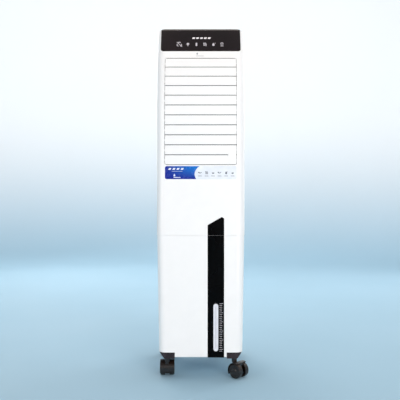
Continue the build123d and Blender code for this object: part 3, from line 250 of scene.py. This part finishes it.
NODE_LOOKS = {
    "white_plastic": WHITE, "grey_plastic": GREY, "black_gloss": PANEL_BLACK, "black_plastic": NYLON_BLACK,
    "window_plastic": WINDOW, "hose_rubber": HOSE, "steel": STEEL, "motor_aluminium": ALUMINIUM,
    "circuit_board": BOARD_GREEN, "cellulose_pad": CELLULOSE, "filter_net": NET}
SPECIAL_LOOKS = {"trim_upper": STRIP_BLACK, "trim_lower": STRIP_BLACK, "caster_brackets": BRACKET_BLACK}
SPECIAL_LOOKS.update({name: CASTER_BLACK for name in NODES if name.endswith("_fork") or "_wheel_" in name})
# the inner parts seen through the slat gaps get the near-black painted shade
SPECIAL_LOOKS.update({name: INNER_SHADE_BLACK for name in NODES
                      if name.startswith("vane_") or name in ("louvre_frame", "louvre_link", "air_duct")})


def dress_cad_nodes():
    """Gives every CAD node its finish."""
    slots = {part["node"]: part["material_slot"] for part in frame["record"]["subparts"]}
    for name, node in NODES.items():
        node.data.materials.clear()
        node.data.materials.append(SPECIAL_LOOKS.get(name, NODE_LOOKS[slots[name]]))


# ---- printed marks ---------------------------------------------------------------------------------
def on_front(out):
    """Places (x, z, w) on the housing's front face, a distance out."""
    return lambda u, v, w: front_point(u, v, out + w)


def icon_shapes(kind, size):
    """Outlines of a generic touch symbol of a given size, centred on 0, 0."""
    r, line = size / 2, size * 0.11
    if kind == "fan":
        return [stroke(arc_points(r * 0.5 * math.cos(a), r * 0.5 * math.sin(a), r * 0.45,
                                  math.degrees(a) - 80, math.degrees(a) + 80, 8), line * 1.2)
                for a in (math.radians(90), math.radians(210), math.radians(330))] \
            + [stroke([(-r, r), (r, -r)], line)]
    if kind == "bulb":
        return [arc_points(0, r * 0.2, r * 0.65, -60, 240, 16),
                rounded_rect(-r * 0.22, -r * 0.95, r * 0.22, -r * 0.5, r * 0.1, 2)]
    if kind == "tower":
        return [rounded_rect(-r * 0.4, -r * 0.9, r * 0.4, r * 0.9, r * 0.2, 3)]
    if kind == "waves":
        return [stroke([(x * r + math.sin(i * 0.8) * r * 0.14, i * r * 0.25 - r * 0.85) for i in range(8)],
                       line * 1.4) for x in (-0.55, 0.0, 0.55)]
    if kind == "drop":
        return [arc_points(0, -r * 0.25, r * 0.6, -220, 40, 16) + [(0, r * 0.95)],
                stroke([(r * 0.75, r * 0.9), (r * 0.95, r * 0.4)], line)]
    if kind == "timer":
        return [stroke(arc_points(0, r * 0.25, r * 0.65, -20, 200, 14), line * 1.4),
                stroke([(0, r * 0.3), (0, -r * 0.5)], line * 1.4),
                stroke([(-r * 0.7, -r * 0.85), (r * 0.7, -r * 0.85)], line * 1.6)]
    if kind == "leaf":
        return [stroke(arc_points(-r * 0.1, r * 0.9, r * 1.1, 205, 335, 12), line * 1.6),
                stroke([(-r * 0.8, r * 0.6), (-r * 0.2, -r * 0.2)], line * 1.3)]
    if kind == "bowl":
        return [arc_points(0, r * 0.1, r * 0.75, 180, 360, 14)]
    raise ValueError(kind)


def add_shapes(shape, outlines, cx, cz, place):
    """Adds a group of flat outlines centred on a point, as thin plates."""
    for outline in outlines:
        plate(shape, [(cx + u, cz + v) for u, v in outline], PRINT, place)


def control_panel_print():
    """Six touch symbols and a five-step level bar on the black panel."""
    icon_z, pitch, first = PANEL_LOW.z + 26 * MM, 29.5 * MM, -74 * MM
    kinds = ("fan", "bulb", "tower", "waves", "drop", "timer")
    for number, kind in enumerate(kinds):
        size = (18 if number == 0 else 14) * MM
        new_piece(f"panel_symbol_{number + 1}",
                  lambda shape: add_shapes(shape, icon_shapes(kind, size), first + pitch * number, icon_z,
                                           on_front(INK_LIFT)),
                  INK_SILVER)
    bar_z = PANEL_LOW.z + 50.5 * MM

    def level_bar(shape):
        for step in range(5):
            x = (-30 + 13.5 * step) * MM
            lean = 2.2 * MM
            plate(shape, [(x, bar_z - 3 * MM), (x + 9 * MM, bar_z - 3 * MM),
                          (x + 9 * MM + lean, bar_z + 3 * MM), (x + lean, bar_z + 3 * MM)], PRINT,
                  on_front(INK_LIFT))
    new_piece("panel_level_bar", level_bar, INK_WHITE)

    def brow_mark(shape):
        drop = icon_shapes("drop", 9 * MM)[:1]
        add_shapes(shape, drop, -12 * MM, PANEL_LOW.z - 9 * MM, on_front(INK_LIFT))
        plate(shape, rounded_rect(-16 * MM, PANEL_LOW.z - 18.6 * MM, 11 * MM, PANEL_LOW.z - 17.4 * MM,
                                  0.5 * MM, 2), PRINT, on_front(INK_LIFT))
    new_piece("brow_drop_mark", brow_mark, INK_GREY)


def sticker():
    """Feature sticker under the outlet: blue field on the left, pale field with six symbols."""
    corner, inset = 6 * MM, 0.6 * MM
    new_piece("sticker_base",
              lambda shape: plate(shape, rounded_rect(-STICKER_HALF, STICKER_LOW, STICKER_HALF,
                                                      STICKER_HIGH, corner), PRINT, on_front(STICKER_LIFT)),
              STICKER_WHITE)
    edge = [(-4 * MM, STICKER_HIGH - inset), (-11 * MM, STICKER_HIGH - 6 * MM),
            (-16.5 * MM, STICKER_HIGH - 13 * MM), (-20 * MM, STICKER_HIGH - 21 * MM),
            (-21 * MM, STICKER_HIGH - 28 * MM), (-19.5 * MM, STICKER_HIGH - 36 * MM),
            (-15.5 * MM, STICKER_LOW + inset)]
    arc_x = -STICKER_HALF + corner + inset
    left = (arc_points(arc_x, STICKER_HIGH - corner - inset, corner, 90, 180, 6)
            + arc_points(arc_x, STICKER_LOW + corner + inset, corner, 180, 270, 6))
    on_base = on_front(STICKER_LIFT + PRINT)
    new_piece("sticker_blue_field",
              lambda shape: plate(shape, left + edge[::-1], PRINT * 0.6, on_base), STICKER_BLUE)
    on_blue = on_front(STICKER_LIFT + PRINT * 1.7)

    def slant_bars(shape):
        low, high = STICKER_HIGH - 13 * MM, STICKER_HIGH - 7 * MM
        for number in range(4):
            x = (-110 + 14 * number) * MM
            plate(shape, [(x, low), (x + 8 * MM, low), (x + 11 * MM, high), (x + 3 * MM, high)],
                  PRINT, on_blue)
    new_piece("sticker_slant_bars", slant_bars, STICKER_WHITE)

    def drop_and_lines(shape):
        add_shapes(shape, icon_shapes("drop", 11 * MM)[:1], -89 * MM, STICKER_LOW + 14 * MM, on_blue)
        plate(shape, rounded_rect(-92 * MM, STICKER_LOW + 5 * MM, -68 * MM, STICKER_LOW + 7.4 * MM,
                                  1 * MM, 2), PRINT, on_blue)
        plate(shape, rounded_rect(-98 * MM, STICKER_LOW + 26.4 * MM, -62 * MM, STICKER_LOW + 27.4 * MM,
                                  0.4 * MM, 2), PRINT, on_blue)
    new_piece("sticker_drop_mark", drop_and_lines, INK_PALE)
    symbol_z, caption_z = STICKER_LOW + 22 * MM, STICKER_LOW + 10 * MM
    for number, kind in enumerate(("leaf", "waves", "bowl", "leaf", "drop", "bowl")):
        x = (-2.4 + 22 * number) * MM
        new_piece(f"sticker_symbol_{number + 1}",
                  lambda shape: add_shapes(shape, icon_shapes(kind, 11 * MM), x, symbol_z, on_base),
                  INK_SLATE)
        new_piece(f"sticker_caption_bar_{number + 1}",
                  lambda shape: plate(shape, rounded_rect(x - 6.5 * MM, caption_z, x + 6.5 * MM,
                                                          caption_z + 2.4 * MM, 1.1 * MM, 3),
                                      PRINT, on_base), INK_GREY)


def level_scale():
    """Tick marks beside the window and the fine centre line and dots in it."""
    low, high = WINDOW_LOW.z, WINDOW_HIGH.z
    ticks, left = 27, WINDOW_HIGH.x + 4 * MM

    def on_strip(u, v, w):
        return tank_point(u, v, INK_LIFT + w)

    def tick_marks(shape):
        for number in range(ticks):
            z = low + (high - low) * number / (ticks - 1)
            reach = (12.5 if number % 5 == 1 else 9) * MM
            plate(shape, [(left, z - 0.6 * MM), (left + reach, z + 0.5 * MM),
                          (left + reach, z + 1.7 * MM), (left, z + 0.6 * MM)], PRINT, on_strip)
    new_piece("level_ticks", tick_marks, INK_SILVER)

    def on_window(u, v, w):
        return tank_point(u, v, WINDOW_PROUD + INK_LIFT + w)

    middle = (WINDOW_LOW.x + WINDOW_HIGH.x) / 2

    def window_line(shape):
        plate(shape, rounded_rect(middle - 1.4 * MM, low + 9 * MM, middle - 0.6 * MM, high - 9 * MM,
                                  0.3 * MM, 2), PRINT, on_window)
        dots = 44
        for number in range(dots):
            z = low + 10 * MM + (high - low - 20 * MM) * number / (dots - 1)
            plate(shape, arc_points(middle + 1.8 * MM, z, 0.7 * MM, 0, 315, 7), PRINT, on_window)
    new_piece("window_scale", window_line, INK_GREY)


# ---- rear: woven net and fluted cooling pad ----------------------------------------------------
def dust_net():
    """Open woven net of the dust filter, held in its frame."""
    low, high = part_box("dust_filter")
    rim, pitch, thread = 7 * MM, 4 * MM, 0.55 * MM
    middle_y = (low.y + high.y) / 2

    def box_between(shape, a, b):
        corners = [shape.verts.new((x, y, z))
                   for x in (a[0], b[0]) for y in (a[1], b[1]) for z in (a[2], b[2])]
        for face in ((0, 1, 3, 2), (4, 6, 7, 5), (0, 4, 5, 1), (2, 3, 7, 6), (0, 2, 6, 4), (1, 5, 7, 3)):
            shape.faces.new([corners[i] for i in face])

    def frame_bars(shape):
        for x0, x1 in ((low.x, low.x + rim), (high.x - rim, high.x)):
            box_between(shape, (x0, low.y, low.z), (x1, high.y, high.z))
        for bar in range(5):
            z = low.z + (high.z - low.z - rim) * bar / 4
            box_between(shape, (low.x + rim, low.y + 0.2 * MM, z),
                        (high.x - rim, high.y - 0.2 * MM, z + rim))
    rim_piece = new_piece("dust_filter_frame", frame_bars, NYLON_BLACK)
    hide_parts("dust_filter")

    def threads(shape):
        count_x = int((high.x - low.x - 2 * rim) / pitch)
        for i in range(1, count_x + 1):
            x = low.x + rim + i * pitch - pitch / 2
            box_between(shape, (x - thread / 2, middle_y - thread, low.z + rim / 2),
                        (x + thread / 2, middle_y, high.z - rim / 2))
        count_z = int((high.z - low.z - 2 * rim) / pitch)
        for i in range(1, count_z + 1):
            z = low.z + rim + i * pitch - pitch / 2
            box_between(shape, (low.x + rim / 2, middle_y, z - thread / 2),
                        (high.x - rim / 2, middle_y + thread, z + thread / 2))
    new_piece("dust_filter_net", threads, NET)


def fluted_pad():
    """Cooling pad as glued corrugated sheets: neighbouring sheets wave against each other."""
    low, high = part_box("cooling_pad")
    sheets, wave, sheet_thick, steps = 33, 15 * MM, 0.5 * MM, 8
    pitch = (high.x - low.x) / sheets
    swing = pitch / 2 - sheet_thick
    count = int((high.z - low.z) / wave * steps)

    def waves(shape):
        for sheet in range(sheets):
            centre = low.x + (sheet + 0.5) * pitch
            sign = 1 if sheet % 2 else -1
            rows = []
            for i in range(count + 1):
                z = low.z + (high.z - low.z) * i / count
                x = centre + sign * swing * math.sin(2 * math.pi * (z - low.z) / wave)
                rows.append([shape.verts.new((x + dx, y, z))
                             for dx, y in ((-sheet_thick / 2, low.y), (sheet_thick / 2, low.y),
                                           (sheet_thick / 2, high.y), (-sheet_thick / 2, high.y))])
            for a, b in zip(rows, rows[1:]):
                for i in range(4):
                    j = (i + 1) % 4
                    shape.faces.new((a[i], a[j], b[j], b[i]))
            shape.faces.new(rows[0][::-1])
            shape.faces.new(rows[-1])
    pad = new_piece("cooling_pad_flutes", waves, CELLULOSE)
    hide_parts("cooling_pad")


# ---- studio ------------------------------------------------------------------------------------------
def backdrop_paint():
    """Pale blue floor paint that fades to white up the backdrop."""
    material = grained("pale_backdrop", (0.24, 0.455, 0.605), (0.25, 0.467, 0.62), 0.8,
                       (0.75, 0.85), 0.02, 0.002)
    tree = material.node_tree
    rise = remap(tree, split_place(tree)["Z"], -0.45, 1.7)
    rise.interpolation_type = "SMOOTHSTEP"
    blend = tree.nodes.new("ShaderNodeMixRGB")
    tree.links.new(rise.outputs["Result"], blend.inputs["Fac"])
    tree.links.new(tree.nodes["Color Ramp"].outputs["Color"], blend.inputs["Color1"])
    blend.inputs["Color2"].default_value = (0.93, 0.94, 0.95, 1)
    tree.links.new(blend.outputs["Color"], tree.nodes["Principled BSDF"].inputs["Base Color"])
    return material


def backdrop():
    """Pale floor that curves up into a round backdrop."""
    floor_r, bend_r, wall_high, around, bend = 5.0, 1.6, 4.0, 96, 12
    profile = [(1.2, 0.0), (floor_r - bend_r, 0.0)]
    profile += [(floor_r - bend_r + bend_r * math.sin(a), bend_r - bend_r * math.cos(a))
                for a in (math.pi / 2 * i / bend for i in range(1, bend + 1))]
    profile.append((floor_r, wall_high))

    def rings_and_centre(shape):
        rings = [[shape.verts.new((radius * math.cos(2 * math.pi * i / around),
                                   radius * math.sin(2 * math.pi * i / around), z))
                  for i in range(around)] for radius, z in profile]
        centre = shape.verts.new((0, 0, 0))
        for i in range(around):
            j = (i + 1) % around
            shape.faces.new((centre, rings[0][i], rings[0][j]))
            for a, b in zip(rings, rings[1:]):
                shape.faces.new((a[i], b[i], b[j], a[j]))
        for face in shape.faces:
            face.smooth = True
    mesh_object("backdrop", rings_and_centre, backdrop_paint())


def area_light(name, place, aim, size, power, colour=(1.0, 0.89, 0.82)):
    """A soft rectangular light aimed at a point, warm unless told otherwise."""
    data = bpy.data.lights.new(name, "AREA")
    data.shape, data.size, data.size_y = "RECTANGLE", size[0], size[1]
    data.energy, data.color = power, colour
    light = bpy.data.objects.new(name, data)
    light.location = place
    light.rotation_mode = "QUATERNION"
    light.rotation_quaternion = (Vector(aim) - Vector(place)).to_track_quat("-Z", "Y")
    light.visible_camera = False
    bpy.context.scene.collection.objects.link(light)


def lights():
    """Soft studio lights in front, above and behind, and an even world."""
    middle = (0, 0, 0.62)
    area_light("key", (1.5, -3.1, 1.25), (0, 0, 0.5), (1.8, 2.4), 76)
    area_light("fill", (-2.3, -2.6, 0.95), (0, 0, 0.45), (1.4, 1.8), 28)
    area_light("overhead", (0.0, 0.35, 3.2), (0, 0.1, 0.9), (2.0, 1.4), 30)
    area_light("rear", (-1.4, 3.0, 1.8), middle, (1.6, 2.0), 30)
    area_light("rear_side", (2.4, 2.0, 1.4), middle, (1.4, 2.0), 18)
    area_light("backdrop_wash", (0, 1.2, 3.4), (0, 5, 1.5), (3.0, 0.8), 84, (1, 1, 1))
    world = bpy.data.worlds.new("studio_air")
    world.use_nodes = True
    air = world.node_tree.nodes["Background"]
    air.inputs["Color"].default_value = (1.0, 0.97, 0.94, 1)
    air.inputs["Strength"].default_value = 0.36
    bpy.context.scene.world = world
    bpy.context.scene.view_settings.view_transform = "Standard"


def level_camera():
    """The camera in front of the cooler, level, at about half its height."""
    lens, distance, eye_height = 53.3, 2.0, 0.604
    data = bpy.data.cameras.new("camera")
    data.lens, data.sensor_width = lens, 36
    data.clip_start, data.clip_end = 0.05, 50
    camera = bpy.data.objects.new("camera", data)
    camera.location = (-2.5 * MM, FRONT_Y - distance, eye_height)
    camera.rotation_euler = (math.pi / 2, 0, 0)
    bpy.context.scene.collection.objects.link(camera)
    bpy.context.scene.camera = camera


dress_cad_nodes()
control_panel_print()
sticker()
level_scale()
dust_net()
fluted_pad()
backdrop()
lights()
level_camera()
